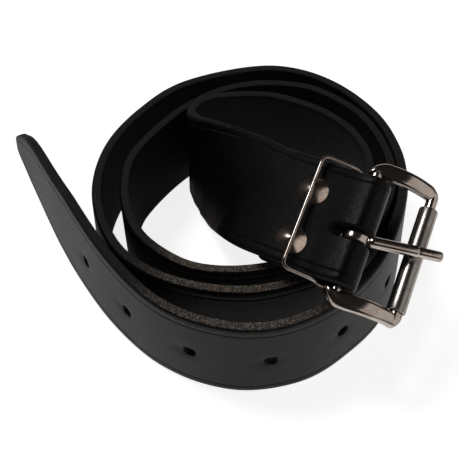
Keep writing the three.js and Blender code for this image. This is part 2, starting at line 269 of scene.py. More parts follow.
def finishPiece(name, bm, body, material, nodes, sharpAngle=35):
    bmesh.ops.transform(bm, matrix=toMetres, verts=bm.verts)
    bmesh.ops.recalc_face_normals(bm, faces=bm.faces)
    for face in bm.faces:
        face.smooth = True
    for edge in bm.edges:
        edge.smooth = edge.calc_face_angle(0) < math.radians(sharpAngle)
    mesh = bpy.data.meshes.new(name)
    bm.to_mesh(mesh)
    bm.free()
    mesh.materials.append(material)
    piece = bpy.data.objects.new(name, mesh)
    bpy.context.scene.collection.objects.link(piece)
    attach(piece, body)
    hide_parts(*nodes)
    print(name, "is made,", len(mesh.polygons), "faces")
    return piece


# The leather strap: drawn flat, cut, and then bent along its route

strap = {
    "width": 40.0,
    "thickness": 3.8,
    "barGap": 0.3,
    "layerGap": 0.45,
    "turnedBack": 27.0,
    # the route runs on past the turned-back end by this
    "spareRoute": 3.0,
    # the turned-back layer draws close to the front one over this distance from the bar
    "closing": 12.0,
    # narrower than this, the edge is squeezed together
    "squeezeBelow": 22.0,
    "holeRadius": 2.3,
    "firstHole": 74.6,
    "holeSpacing": 28.0,
    "holes": 6,
    "holeRim": 0.5,
    # hollow round a hole: depth, half length, half width, how far it lies towards the tip
    "holeHollow": (0.5, 4.0, 3.2, 1.0),
    # hollow under a rivet's cap: depth, radius, softness of its rim
    "capHollow": (0.3, 5.9, 0.35),
    "capHollowEnd": 9.0,
    # a hollow moves only points above this height and within this distance of the strap's middle
    "hollowFloor": 1.2,
    "hollowHalf": 15.5,
    # the tongue's slot, which reaches on past both ends of the bend
    "slotAcross": -2.15,
    "slotReach": 8.5,
    "slotHalfAtEnd": 2.25,
    "slotHalfAtFold": 2.75,
    # faces with their middle nearer than this to a cut's outline stay
    "cutMargin": 0.2,
    # on the climb the crease draws nearer to the edge: between which places off the fold, to what share
    "closerCrease": (-150, -110, 0.84),
    # distance behind the bar, place across: lower rivet, upper rivet
    "rivets": ((18.0, -11.6), (18.6, 7.6)),
    # how far the strap's middle lies off the bar's
    "across": -0.6,
    # V of the walls at the strap's ends and the slot, and of the holes' walls
    "endMark": 22.5,
    "holeMark": 24.05,
    # rows of the mesh: at the tip, then the greatest steps: plain, at holes, on the coil, at the fold
    "tipRows": [0, 0.12, 0.35, 0.7, 1.2, 1.9, 2.8, 4.0],
    "plainStep": 1.7,
    "holeStep": 0.6,
    "coilStep": 2.3,
    "foldStep": 0.8,
    # where those stretches end: behind the tip, on either side of a hole, before the fold
    "tipLength": 62,
    "nearHole": 4.2,
    "nearFold": 34,
    # steps between two rows of the route, and round the bar; how far off, in rows, its direction is taken
    "routeSteps": 16,
    "barSteps": 32,
    "lookAhead": 0.005,
    # the tip is thinner at its end: over which length, by which share
    "thinTip": (0.8, 0.45),
    # distance from the tip, width
    "tip": [(0, 3.2), (0.35, 5.6), (0.9, 8.1), (1.8, 10.4), (3.4, 13.1), (6, 15.9), (9.5, 20.6), (13, 24.6),
            (18, 28.2), (24, 30.8), (31, 32.9), (39, 34.9), (45, 36.5), (51, 37.9), (56, 39.2), (60, 40)],
    # distance in from the edge, height above the middle: crease, bead, rounded grain corner, cut edge
    "edge": [(4.9, 1.9), (4.25, 1.89), (4.02, 1.81), (3.85, 1.72), (3.68, 1.81), (3.45, 1.88), (2.3, 1.9),
             (1.35, 1.87), (0.75, 1.73), (0.33, 1.44), (0.08, 1.03), (0, 0.5), (0, -0.3), (0, -1.15),
             (0.12, -1.62), (0.5, -1.88), (2.5, -1.9)],
    # outline points below this height are on the flesh side
    "fleshBelow": -1.87,
    "between": [-13.6, -12, -10.3, -8.6, -7, -5.8, -4.9, -4.2, -3.6, -3, -2.4, -1.8, -1.2, -0.6, 0,
                0.6, 1.2, 1.8, 2.4, 3, 3.8, 4.9, 6.2, 7.8, 9.6, 11.6, 13.6],
}

# Where the strap stands on its edge: place on the floor, lift off it, lean inwards
standing = [
    (-89.9, 32.4, 0, 5), (-81.1, 17.7, 0, 5), (-65.1, -11.7, 0, 5), (-44.6, -43.7, 0, 3.2),
    (-28.8, -61.1, 0, 1), (-18.5, -68.2, 0, 0), (-8.9, -72.3, 0, 0), (3.6, -74.9, 0, 0),
    (16.2, -74.0, 0, 0), (29.2, -69.4, 0, 1.5), (41.7, -60.5, 0, 2), (55.6, -44.5, 0, 5),
    (65.3, -19.5, 0, 4), (67.3, -5.2, 0, 3), (66.6, 8.2, 0, 2.5), (60.6, 27.5, 0, 2), (46.2, 46.2, 0, 2),
    (30.2, 56.0, 0, 2), (13.4, 58.2, 0, 2), (-20.1, 47.1, 0, 2), (-35.6, 31.7, 0, 2), (-47.0, 12.0, 0, 2),
    (-50.6, -9.4, 0, 2), (-46.9, -28.8, 0, 2), (-37.1, -45.0, 0, 1), (-19.5, -55.9, 0, 0),
    (3.7, -60.2, 0, 0), (20.2, -57.3, 0, 0), (33.0, -51.5, 0, 0), (45.0, -41.4, 0, 0), (54.8, -27.7, 0, 0),
    (61.5, -12.3, 0, 0), (62.7, 0.0, 0, 0), (61.0, 10.8, 0, 0), (58.3, 19.6, 0, 0), (52.2, 30.6, 0, 0),
    (38.9, 42.4, 0, 0), (30.0, 46.3, 0, 0), (17.2, 47.9, 0, 0), (8.8, 47.2, 0, 0), (-3.3, 43.4, 0, 0),
    (-19.0, 31.7, 0, 0), (-33.6, 12.6, 0, 0), (-38.8, 0.9, 0, 0), (-38.5, -19.3, 0, 0),
    (-32.1, -35.2, 0, 0), (-19.5, -46.5, 0, 0), (-9.5, -50.6, 0, 0), (7.2, -51.1, 0, 0),
    (28.0, -45.0, 0, 0), (39.0, -35.0, 0, 0), (47.5, -22.0, 0, 0), (54.6, 0.6, 0, 0), (50.5, 16.6, 0, 0),
    (40.6, 28.6, 0, 0), (29.6, 35.6, 0, 0), (18.6, 39.3, 0.5, 0), (8.4, 39.6, 1, 0),
    (-2.4, 37.3, 2, 0),
]
# Where it folds back and climbs over its turns: place of its middle, lean
climbing = [
    (-10.2, 32.8, 23.0, -2), (-14.1, 26.8, 23.8, -2), (-15.0, 19.5, 25.6, 1), (-12.6, 12.6, 27.6, 9),
    (-8.2, 6.5, 29.8, 21), (-2.0, -1.8, 33.7, 34), (4.9, -13.6, 41.4, 47), (12.6, -27.6, 50.3, 60),
]

buckle = {
    "bar": (42.9, -45.4, 52.6),
    "heading": -22.0,
    "slope": -2.0,
    "lean": 71.0,
    "droop": 18.6,
    "barRadius": 2.3,
    "window": 21.3,
    "armWidth": 6.1,
    "armThickness": 2.8,
    "armCurl": 4.6,
    "camber": 2.4,
    "reach": 21.6,
    "axleRadius": 2.0,
    # how far the bar and the axle run into the arms
    "shaftEnds": 1.7,
}
# The strap's last rows, in the buckle's own directions
lying = [(-20, 0.2, 2.9, 70), (-12, -0.3, 3.25, 71), (-6, -0.5, 3.36, 71), (-4.5, -0.55, 3.56, 71),
         (-3, -0.6, 3.84, 71), (-1.4, -0.6, 4.18, 71), (0, -0.6, 4.5, 71)]


def stripDirections(tangent, lean):
    side = tangent.cross(Vector((0, 0, 1))).normalized()
    rise = side.cross(tangent)
    angle = math.radians(lean)
    across = rise * math.cos(angle) - side * math.sin(angle)
    return across, tangent.cross(across)


def buckleMatrix():
    heading, slope = math.radians(buckle["heading"]), math.radians(buckle["slope"])
    level = math.cos(slope)
    along = Vector((math.cos(heading) * level, math.sin(heading) * level, math.sin(slope)))
    across, out = stripDirections(along, buckle["lean"])
    turned = Matrix((along, across, out)).transposed().to_4x4()
    return Matrix.Translation(buckle["bar"]) @ turned


atBar = buckleMatrix()
atFrame = atBar @ Matrix.Rotation(math.radians(buckle["droop"]), 4, "Y")


def curvePoint(rows, at, power):
    # a Catmull-Rom curve through the rows; power 0.25 spaces it by distance, 0 evenly
    first = min(int(at), len(rows) - 2)
    share = at - first
    b, c = rows[first], rows[first + 1]
    a = rows[first - 1] if first > 0 else 2 * b - c
    d = rows[first + 2] if first + 2 < len(rows) else 2 * c - b
    before, here, after = (max(float((q - p) @ (q - p)), 1e-12) ** power for p, q in ((a, b), (b, c), (c, d)))
    start = ((b - a) / before - (c - a) / (before + here) + (c - b) / here) * here
    end = ((c - b) / here - (d - b) / (here + after) + (d - c) / after) * here
    bend = 3 * (c - b) - 2 * start - end
    twist = 2 * (b - c) + start + end
    return b + share * (start + share * (bend + share * twist))


def restingHeight(lean):
    angle = math.radians(abs(lean))
    return (strap["width"] * math.cos(angle) + strap["thickness"] * math.sin(angle)) / 2


def strapRoute():
    # distance from the tip, centre, across and out of the grain, at many places along the whole strap
    rows = [(x, y, lift + restingHeight(lean), lean) for x, y, lift, lean in standing] + list(climbing)
    rows += [(*(atBar @ Vector(row[:3])), row[3]) for row in lying]
    places = [np.array(row[:3]) for row in rows]
    leans = [np.array(row[3:]) for row in rows]
    last = len(rows) - 1
    steps, near = strap["routeSteps"], strap["lookAhead"]
    route, distance, before = [], 0.0, None
    for step in range(last * steps + 1):
        at = step / steps
        centre = Vector(curvePoint(places, at, 0.25))
        ahead = Vector(curvePoint(places, min(at + near, last), 0.25))
        behind = Vector(curvePoint(places, max(at - near, 0), 0.25))
        lean = float(curvePoint(leans, at, 0)[0])
        centre.z = max(centre.z, restingHeight(lean))
        distance += (centre - before).length if before else 0
        before = centre
        route.append((distance, centre, *stripDirections((ahead - behind).normalized(), lean)))
    front = list(route)
    foldStart = distance
    radius = buckle["barRadius"] + strap["barGap"] + strap["thickness"] / 2
    across = atBar.to_3x3() @ Vector((0, 1, 0))
    steps = strap["barSteps"]
    for step in range(1, steps + 1):
        angle = math.pi / 2 - math.pi * step / steps
        out = atBar.to_3x3() @ Vector((math.cos(angle), 0, math.sin(angle)))
        centre = Vector(buckle["bar"]) + out * radius + across * strap["across"]
        route.append((foldStart + radius * math.pi * step / steps, centre, across, out))
    foldEnd = route[-1][0]
    for covered, centre, across, out in reversed(front):
        back = foldStart - covered
        if 0 < back < strap["turnedBack"] + strap["spareRoute"]:
            closed = min(back / strap["closing"], 1)
            closed = closed * closed * (3 - 2 * closed)
            apart = 2 * radius + (strap["thickness"] + strap["layerGap"] - 2 * radius) * closed
            route.append((foldEnd + back, centre - out * apart, across, -out))
    return route, foldStart, foldEnd


def bendStrap(bm, route):
    marks = np.array([row[0] for row in route])
    flat = np.array([vert.co for vert in bm.verts])
    parts = []
    for column in (1, 2, 3):
        values = np.array([row[column] for row in route])
        parts.append(np.stack([np.interp(flat[:, 0], marks, values[:, axis]) for axis in range(3)], 1))
    centre, across, out = parts
    across /= np.linalg.norm(across, axis=1)[:, None]
    out /= np.linalg.norm(out, axis=1)[:, None]
    bent = centre + across * flat[:, 1:2] + out * flat[:, 2:3]
    for vert, place in zip(bm.verts, bent):
        vert.co = place


def strapStations(foldStart, foldEnd):
    stations = list(strap["tipRows"])
    at, near = strap["tipLength"], strap["nearHole"]
    spans = [(stations[-1], at, strap["plainStep"])]
    for hole in range(strap["holes"]):
        centre = strap["firstHole"] + hole * strap["holeSpacing"]
        spans.append((at, centre - near, strap["plainStep"]))
        spans.append((centre - near, centre + near, strap["holeStep"]))
        at = centre + near
    fine = foldStart - strap["nearFold"]
    spans.append((at, fine, strap["coilStep"]))
    spans.append((fine, foldEnd + strap["turnedBack"], strap["foldStep"]))
    for start, end, most in spans:
        count = math.ceil((end - start) / most - 1e-6)
        stations += [start + (end - start) * step / count for step in range(1, count + 1)]
    return stations


def strapSection(width, closer=1.0):
    # the closed outline of the strap at one width: flesh side, one edge, grain side, other edge
    half, flat = width / 2, strap["thickness"] / 2
    depth = strap["edge"][0][0]
    squeeze = min(1, width / strap["squeezeBelow"]) * closer
    inner = half - depth * squeeze
    fullInner = strap["width"] / 2 - depth
    right = [(half - inset * squeeze, height) for inset, height in strap["edge"]]
    left = [(-across, height) for across, height in reversed(right)]
    grainSide = [(across / fullInner * inner, flat) for across in strap["between"]]
    fleshSide = [(across, -height) for across, height in reversed(grainSide)]
    return right + fleshSide + left + grainSide


def insideSlot(along, across, foldStart, foldEnd):
    middle = (foldStart + foldEnd) / 2
    reach = middle - foldStart + strap["slotReach"]
    straight = reach - strap["slotHalfAtEnd"]
    off, side = abs(along - middle), abs(across - strap["slotAcross"])
    if off > straight:
        return math.hypot(off - straight, side) < strap["slotHalfAtEnd"] - strap["cutMargin"]
    half = strap["slotHalfAtFold"] + (strap["slotHalfAtEnd"] - strap["slotHalfAtFold"]) * off / straight
    return side < half


def snapToSlot(vert, foldStart, foldEnd):
    middle = (foldStart + foldEnd) / 2
    straight = middle - foldStart + strap["slotReach"] - strap["slotHalfAtEnd"]
    off = vert.co.x - middle
    side = vert.co.y - strap["slotAcross"]
    if abs(off) > straight:
        centre = middle + math.copysign(straight, off)
        away = Vector((vert.co.x - centre, side)).normalized() * strap["slotHalfAtEnd"]
        vert.co.x, vert.co.y = centre + away.x, strap["slotAcross"] + away.y
    else:
        share = abs(off) / straight
        half = strap["slotHalfAtFold"] + (strap["slotHalfAtEnd"] - strap["slotHalfAtFold"]) * share
        vert.co.y = strap["slotAcross"] + math.copysign(half, side)


def cutThrough(bm, inside, snap):
    # takes out the faces inside an outline on both sides, draws their rims onto it and walls the cut
    gone = []
    flat = strap["thickness"] / 2
    for face in bm.faces:
        middle = face.calc_center_median()
        if abs(abs(middle.z) - flat) < 1e-3 and inside(middle.x, middle.y):
            gone.append(face)
    rim = {edge for face in gone for edge in face.edges}
    doomed = set(gone)
    rim = [edge for edge in rim if not all(face in doomed for face in edge.link_faces)]
    bmesh.ops.delete(bm, geom=gone, context="FACES")
    for vert in {vert for edge in rim for vert in edge.verts}:
        snap(vert)
    walls = bmesh.ops.bridge_loops(bm, edges=rim)["faces"]
    edges = [edge for edge in rim if edge.is_valid and all(vert.co.z > 0 for vert in edge.verts)]
    return walls, edges


def makeStrap(material):
    route, foldStart, foldEnd = strapRoute()
    stations = strapStations(foldStart, foldEnd)
    tipMarks, tipWidths = zip(*strap["tip"])
    closerFrom = strap["closerCrease"][:2]
    thinLength, thinShare = strap["thinTip"]
    bm = bmesh.new()
    rings = []
    for along in stations:
        thin = 1 - thinShare * max(0, 1 - along / thinLength) ** 2
        closer = float(np.interp(along - foldStart, closerFrom, (1, strap["closerCrease"][2])))
        section = strapSection(float(np.interp(along, tipMarks, tipWidths)), closer)
        rings.append([Vector((along, across, height * thin)) for across, height in section])
    order = loft(bm, rings)
    # U runs along the strap, V from the middle of the grain over the edge to the middle of the flesh
    uv = bm.loops.layers.uv.new("strap")
    full = strapSection(strap["width"])
    flat = strap["thickness"] / 2
    measure = []
    for across, height in full:
        onFlesh = height < strap["fleshBelow"]
        overEdge = abs(across) + flat - height
        measure.append(strap["width"] + strap["thickness"] - abs(across) if onFlesh else overEdge)
    measured = {}
    for index, vert in enumerate(order):
        measured[vert] = (stations[index // len(full)], measure[index % len(full)])
    for face in bm.faces:
        for loop in face.loops:
            along, over = measured[loop.vert]
            loop[uv].uv = (along * 0.001, over * 0.001)
    closeEnds(bm)
    for face in bm.faces:
        if len(face.verts) > 4:
            for loop in face.loops:
                loop[uv].uv = (loop.vert.co.x * 0.001, strap["endMark"] * 0.001)
    rims = []
    for hole in range(strap["holes"]):
        centre = strap["firstHole"] + hole * strap["holeSpacing"]

        def inHole(along, across):
            return math.hypot(along - centre, across) < strap["holeRadius"] - strap["cutMargin"]

        def snapToHole(vert):
            away = Vector((vert.co.x - centre, vert.co.y)).normalized() * strap["holeRadius"]
            vert.co.x, vert.co.y = centre + away.x, away.y

        walls, edges = cutThrough(bm, inHole, snapToHole)
        rims += edges
        for face in walls:
            for loop in face.loops:
                loop[uv].uv = (centre * 0.001, strap["holeMark"] * 0.001)
    walls, edges = cutThrough(
        bm,
        lambda along, across: insideSlot(along, across, foldStart, foldEnd),
        lambda vert: snapToSlot(vert, foldStart, foldEnd),
    )
    rims += edges
    for face in walls:
        for loop in face.loops:
            loop[uv].uv = ((foldStart + foldEnd) / 2 * 0.001, strap["endMark"] * 0.001)
    bmesh.ops.bevel(bm, geom=rims, offset=strap["holeRim"], segments=2, profile=0.5, affect="EDGES",
                    material=-1)
    dentStrap(bm, foldStart)
    bendStrap(bm, route)
    finishPiece("strap_leather", bm, "belt", material, ["strap"], 50)
    return route, foldStart


def dentStrap(bm, foldStart):
    # shallow hollows round the holes and under the rivets' caps
    deep, halfLong, halfWide, towardsTip = strap["holeHollow"]
    capDeep, capRadius, softness = strap["capHollow"]
    for vert in bm.verts:
        along, across, height = vert.co
        if height < strap["hollowFloor"] or abs(across) > strap["hollowHalf"]:
            continue
        nearest = round((along - strap["firstHole"]) / strap["holeSpacing"])
        nearest = min(max(nearest, 0), strap["holes"] - 1)
        off = along - strap["firstHole"] - nearest * strap["holeSpacing"] + towardsTip
        height -= deep * math.exp(-(off / halfLong) ** 2 - (across / halfWide) ** 2)
        for behindBar, rivetAcross in strap["rivets"]:
            away = math.hypot(along - foldStart + behindBar, across - rivetAcross)
            if away < strap["capHollowEnd"]:
                height -= capDeep / (1 + math.exp((away - capRadius) / softness))
        vert.co.z = height


# Hardware

def superRing(width, height, sides, square):
    # points round a softly squared section; 2 is a plain ellipse
    points = []
    for step in range(sides):
        angle = 2 * math.pi * step / sides
        x, y = math.cos(angle), math.sin(angle)
        points.append((math.copysign(abs(x) ** (2 / square), x) * width / 2,
                       math.copysign(abs(y) ** (2 / square), y) * height / 2))
    return points


def bentPath(corners, rounding, steps=7, most=0.45):
    # straight runs with their inner corners rounded off, over at most a share of each run
    path = [Vector(corners[0])]
    for before, corner, after in zip(corners, corners[1:], corners[2:]):
        corner = Vector(corner)
        back, on = Vector(before) - corner, Vector(after) - corner
        start = corner + back.normalized() * min(rounding, back.length * most)
        end = corner + on.normalized() * min(rounding, on.length * most)
        for step in range(steps + 1):
            share = step / steps
            path.append(start.lerp(corner, share).lerp(corner.lerp(end, share), share))
    path.append(Vector(corners[-1]))
    return path


def sweep(bm, path, sections, upright):
    # one section for each place on the path; upright is roughly the section's height direction
    rings = []
    for index, place in enumerate(path):
        ahead = path[min(index + 1, len(path) - 1)] - path[max(index - 1, 0)]
        side = ahead.cross(upright[index]).normalized()
        rise = side.cross(ahead).normalized()
        rings.append([place + side * x + rise * y for x, y in sections[index]])
    loft(bm, rings)
    closeEnds(bm)


def turned(bm, profile, axis, steps=48):
    # spins an outline of (radius, place along the axis) once round that axis
    across = Vector((1, 0, 0)) if abs(axis.x) < 0.5 else Vector((0, 1, 0))
    verts = [bm.verts.new(across * radius + axis * along) for radius, along in profile]
    edges = [bm.edges.new(pair) for pair in zip(verts, verts[1:])]
    bmesh.ops.spin(bm, geom=verts + edges, cent=(0, 0, 0), axis=axis, angle=2 * math.pi, steps=steps,
                   use_merge=True)
    bmesh.ops.remove_doubles(bm, verts=bm.verts, dist=1e-4)


def camberAt(along):
    share = min(max(along / buckle["reach"], 0), 1)
    return buckle["camber"] * math.sin(math.pi * share)


# The two side arms: side of the buckle, where each starts and ends, how much it narrows forwards,
# where its front corner starts
arms = {
    "far": {"side": 1, "start": -3.2, "front": 23.6, "outerTaper": 0.3, "innerTaper": 0.0, "corner": 4.6},
    "near": {"side": -1, "start": -4.0, "front": 24.2, "outerTaper": 1.3, "innerTaper": 0.6, "corner": 3.5},
}
armShape = {
    # an arm narrows forwards from the first place, over the second length
    "taper": (4, 15),
    "curlLength": 6,
    # the front corner: how much of the width it takes off, and two powers that round it
    "corner": (0.86, 2.6, 0.7),
    "leastWidth": 0.5,
    # the curled start is thicker: over this length, falling off with this power
    "swell": (6.5, 1.6),
    # both ends are rounded off over these lengths, down to this share of the thickness
    "startRound": 2.2,
    "frontRound": 1.2,
    "thinEnd": 0.3,
    "square": 3.4,
    "crown": 0.4,
    "crownLength": 3,
    "sides": 32,
    # rows counted from the start and from the front, and steps from the one group to the other
    "startRows": (0, 0.07, 0.22, 0.45, 0.8, 1.3, 2, 2.9, 4, 5.3, 6.8, 8.4),
    "frontRows": (5.4, 4.6, 3.9, 3.2, 2.5, 1.9, 1.4, 0.95, 0.6, 0.33, 0.15, 0.05, 0),
    "between": 7,
}


def armEdges(arm, along):
    # how far out an arm's two edges lie at a place between its curled start and its front corner
    taperFrom, taperLength = armShape["taper"]
    cut, bulge, flatten = armShape["corner"]
    share = min(max((along - taperFrom) / taperLength, 0), 1)
    inner = buckle["window"] - arm["innerTaper"] * share
    outer = buckle["window"] + buckle["armWidth"] - arm["outerTaper"] * share
    curl = min((along - arm["start"]) / armShape["curlLength"], 1)
    corner = max((along - arm["front"]) / arm["corner"] + 1, 0)
    width = (outer - inner) * math.sqrt(math.sin(math.pi / 2 * curl)) * (1 - cut * corner ** bulge) ** flatten
    return inner, inner + max(width, armShape["leastWidth"])


def addArm(bm, arm):
    start, front = arm["start"], arm["front"]
    stations = [start + off for off in armShape["startRows"]]
    first, last = stations[-1], front - armShape["frontRows"][0]
    between = armShape["between"]
    stations += [first + (last - first) * step / between for step in range(1, between)]
    stations += [front - off for off in armShape["frontRows"]]
    swellLength, swellPower = armShape["swell"]
    thinEnd = armShape["thinEnd"]
    rings = []
    for along in stations:
        inner, outer = armEdges(arm, along)
        ends = min(along - start, front - along)
        length = armShape["startRound"] if along < armShape["taper"][0] else armShape["frontRound"]
        rounding = min(ends / length, 1)
        swell = max(1 - max(along, 0) / swellLength, 0) ** swellPower
        thick = buckle["armThickness"] + (buckle["armCurl"] - buckle["armThickness"]) * swell
        thick *= thinEnd + (1 - thinEnd) * math.sqrt(rounding * (2 - rounding))
        middle, width = (inner + outer) / 2, outer - inner
        ring = []
        for x, y in superRing(width, thick, armShape["sides"], armShape["square"] - swell):
            crown = armShape["crown"] * (1 - (2 * x / width) ** 2) if y > 0 else 0
            crown *= min(ends / armShape["crownLength"], 1)
            ring.append(Vector((along, arm["side"] * (middle + x), y + crown + camberAt(along))))
        rings.append(ring)
    loft(bm, rings)
    closeEnds(bm)


keeper = {
    "radius": 0.7,
    "rounding": 2.9,
    "step": 1.5,
    "sides": 16,
    # along from the bar, across, height: from the bar's far end to its near end
    "corners": [(0, 21.9, -0.9), (-4.4, 20.7, -2), (-7.6, 20.7, 0.81), (-20, 19.8, 1.8), (-20, -22.2, 1.8),
                (-8.6, -21.9, 1.26), (-5.2, -21.7, -2.2), (0, -20.8, -1.2)],
}


def addKeeper(bm):
    # one wire: over the strap, and down beside its edges to the ends of the bar
    path = bentPath(keeper["corners"], keeper["rounding"])
    rail = []
    for first, second in zip(path, path[1:]):
        count = max(1, round((second - first).length / keeper["step"]))
        rail += [first.lerp(second, step / count) for step in range(count)]
    rail.append(path[-1])
    wire = superRing(2 * keeper["radius"], 2 * keeper["radius"], keeper["sides"], 2)
    earlier = set(bm.faces)
    sweep(bm, rail, [wire] * len(rail), [Vector((0, 0, 1))] * len(rail))
    for face in bm.faces:
        if face not in earlier:
            face.material_index = 1


def makeFrame(material, wireShadedMaterial):
    bm = bmesh.new()
    length = buckle["window"] + buckle["shaftEnds"]
    for radius, along in ((buckle["barRadius"], 0), (buckle["axleRadius"], buckle["reach"])):
        shaft = bmesh.new()
        turned(shaft, [(0, -length), (radius, -length), (radius, length), (0, length)], Vector((0, 1, 0)))
        bmesh.ops.translate(shaft, vec=(along, 0, 0), verts=shaft.verts)
        whole = bpy.data.meshes.new("shaft")
        shaft.to_mesh(whole)
        shaft.free()
        bm.from_mesh(whole)
        bpy.data.meshes.remove(whole)
    for arm in arms.values():
        addArm(bm, arm)
    addKeeper(bm)
    bmesh.ops.transform(bm, matrix=atFrame, verts=bm.verts)
    piece = finishPiece("buckle_frame_smooth", bm, "belt", material, ["buckle_frame"])
    # the keeper wire gets a darker copy of the nickel, as painted shade
    piece.data.materials.append(wireShadedMaterial)


roller = {
    "radius": 3.3,
    "length": 38.8,
    "across": -0.9,
    "rim": 0.45,
    "rimSteps": 4,
    "boreGap": 0.3,
}


def makeRoller(material):
    half, bore = roller["length"] / 2, buckle["axleRadius"] + roller["boreGap"]
    rim, steps = roller["rim"], roller["rimSteps"]
    straight, flank = half - rim, roller["radius"] - rim
    quarter = [(math.sin(math.pi / 2 * step / steps), math.cos(math.pi / 2 * step / steps))
               for step in range(steps + 1)]
    profile = [(bore, -half)]
    profile += [(flank + rim * up, -straight - rim * over) for up, over in quarter]
    profile += [(roller["radius"], -half * share) for share in (0.8, 0.4, 0, -0.4, -0.8)]
    profile += [(flank + rim * over, straight + rim * up) for up, over in quarter]
    profile += [(bore, half), (bore, -half)]
    bm = bmesh.new()
    turned(bm, profile, Vector((0, 1, 0)))
    bmesh.ops.translate(bm, vec=(buckle["reach"], roller["across"], 0), verts=bm.verts)
    bmesh.ops.transform(bm, matrix=atFrame, verts=bm.verts)
    finishPiece("roller_tube_smooth", bm, "roller_tube", material, ["roller"], 50)


tongue = {
    "across": -2.7,
    "rise": 5.5,
    "skew": 11.0,
    "radius": 2.02,
    "tip": 29.9,
    "groove": 21.2,
    "neckWidth": 3.5,
    "neckThickness": 1.8,
    "neckEnd": 5.2,
    "eyeGap": 0.35,
    "sides": 20,
    # the curl round the bar: degrees from where, through how many, in how many steps
    "curl": (-205, 295, 30),
    # how square the curl, the neck and the shaft are in section
    "square": (3.2, 2.8, 2),
    # the hammered neck: distance from the bar, drop, width, height
    "neck": [(0.9, 0.0, 3.5, 1.8), (1.8, 0.06, 3.5, 1.72), (2.8, 0.24, 3.5, 1.55), (3.7, 0.45, 3.45, 1.4),
             (4.35, 0.58, 3.4, 1.36), (4.6, 0.55, 3.4, 1.5), (4.72, 0.35, 3.5, 2.2), (4.85, 0.15, 3.6, 2.9),
             (5.05, 0.03, 3.75, 3.5)],
    # distance along the shaft, back from its end, or from the ring step, and share of its radius
    "shaft": [(0.3, 1), (0.8, 1.01), (2, 1), (5, 1), (9, 1), (13, 1)],
    "step": [(-0.5, 1), (-0.15, 0.98), (0, 0.91), (0.2, 0.88), (0.6, 0.92), (1.2, 0.93)],
    "end": [(3, 0.91), (1.1, 0.89), (0.6, 0.83), (0.28, 0.7), (0.08, 0.5), (0, 0.25)],
}


def makeTongue(material):
    inner = buckle["barRadius"] + tongue["eyeGap"]
    level = inner + tongue["neckThickness"] / 2
    path, sections, upright = [], [], []
    sides = tongue["sides"]
    curlSquare, neckSquare, shaftSquare = tongue["square"]
    flat = superRing(tongue["neckWidth"], tongue["neckThickness"], sides, curlSquare)
    # the curl round the bar, from under it to its top
    curlFrom, curlTurn, curlSteps = tongue["curl"]
    for step in range(curlSteps + 1):
        angle = math.radians(curlFrom + curlTurn * step / curlSteps)
        away = Vector((-math.cos(angle), 0, math.sin(angle)))
        path.append(away * level)
        sections.append(flat)
        upright.append(away)
    # the neck swells into the round shaft with a small step
    radius = tongue["radius"]
    skew = Vector((math.cos(math.radians(tongue["skew"])), math.sin(math.radians(tongue["skew"])), 0))
    for along, drop, width, height in tongue["neck"]:
        path.append(Vector((along, 0, level - drop)))
        sections.append(superRing(width, height, sides, neckSquare))
        upright.append(Vector((0, 0, 1)))
    start = Vector((tongue["neckEnd"], 0, level))
    long = tongue["tip"] - tongue["neckEnd"]
    groove = tongue["groove"] - tongue["neckEnd"]
    # a round shaft with a ring step near the roller and a blunt end
    shaft = list(tongue["shaft"])
    shaft += [(groove + off, share) for off, share in tongue["step"]]
    shaft += [(long - off, share) for off, share in tongue["end"]]
    for along, share in shaft:
        path.append(start + skew * along)
        sections.append(superRing(2 * radius * share, 2 * radius * share, sides, shaftSquare))
        upright.append(Vector((0, 0, 1)))
    bm = bmesh.new()
    sweep(bm, path, sections, upright)
    raised = Matrix.Rotation(-math.radians(tongue["rise"]), 4, "Y")
    turn = Matrix.Translation((0, tongue["across"], 0)) @ raised
    bmesh.ops.transform(bm, matrix=atFrame @ turn, verts=bm.verts)
    finishPiece("tongue_smooth", bm, "tongue_arm", material, ["tongue"], 50)


rivet = {
    "capRadius": 5.1,
    "capBase": 1.05,
    "capRim": 1.95,
    "capTop": 4.05,
    "capLip": 0.25,
    "domePower": 1.42,
    "domeSteps": 14,
    "shank": 1.7,
    "backRadius": 3.8,
    "backFlat": 3.04,
    "backBase": -6.5,
    "backEdge": -6.95,
    "backTop": -7.55,
    "sides": 40,
    # a cap sinks deeper towards the bar
    "tilt": 0.1,
}


def makeRivet(name, node, route, foldStart, spot, material):
    behindBar, across = spot
    at = foldStart - behindBar
    _, centre, side, out = min(route, key=lambda row: abs(row[0] - at))
    along = side.cross(out)
    turn = Matrix((side, out, along)).transposed().to_4x4()
    radius, base, rim, top = rivet["capRadius"], rivet["capBase"], rivet["capRim"], rivet["capTop"]
    profile = [(0, rivet["backTop"]), (rivet["backFlat"], rivet["backTop"]),
               (rivet["backRadius"], rivet["backEdge"]), (rivet["backRadius"], rivet["backBase"]),
               (rivet["shank"], rivet["backBase"]), (rivet["shank"], base), (radius - rivet["capLip"], base)]
    for step in range(rivet["domeSteps"] + 1):
        share = math.cos(math.pi / 2 * step / rivet["domeSteps"])
        profile.append((radius * share, rim + (top - rim) * (1 - share ** rivet["domePower"])))
    profile[-1] = (0, top)
    bm = bmesh.new()
    turned(bm, profile, Vector((0, 1, 0)), rivet["sides"])
    for vert in bm.verts:
        if vert.co.y > 0:
            vert.co.y -= rivet["tilt"] * vert.co.z
    bmesh.ops.transform(bm, matrix=Matrix.Translation(centre + side * across) @ turn, verts=bm.verts)
    finishPiece(name, bm, "belt", material, [node], 50)


# Finishes

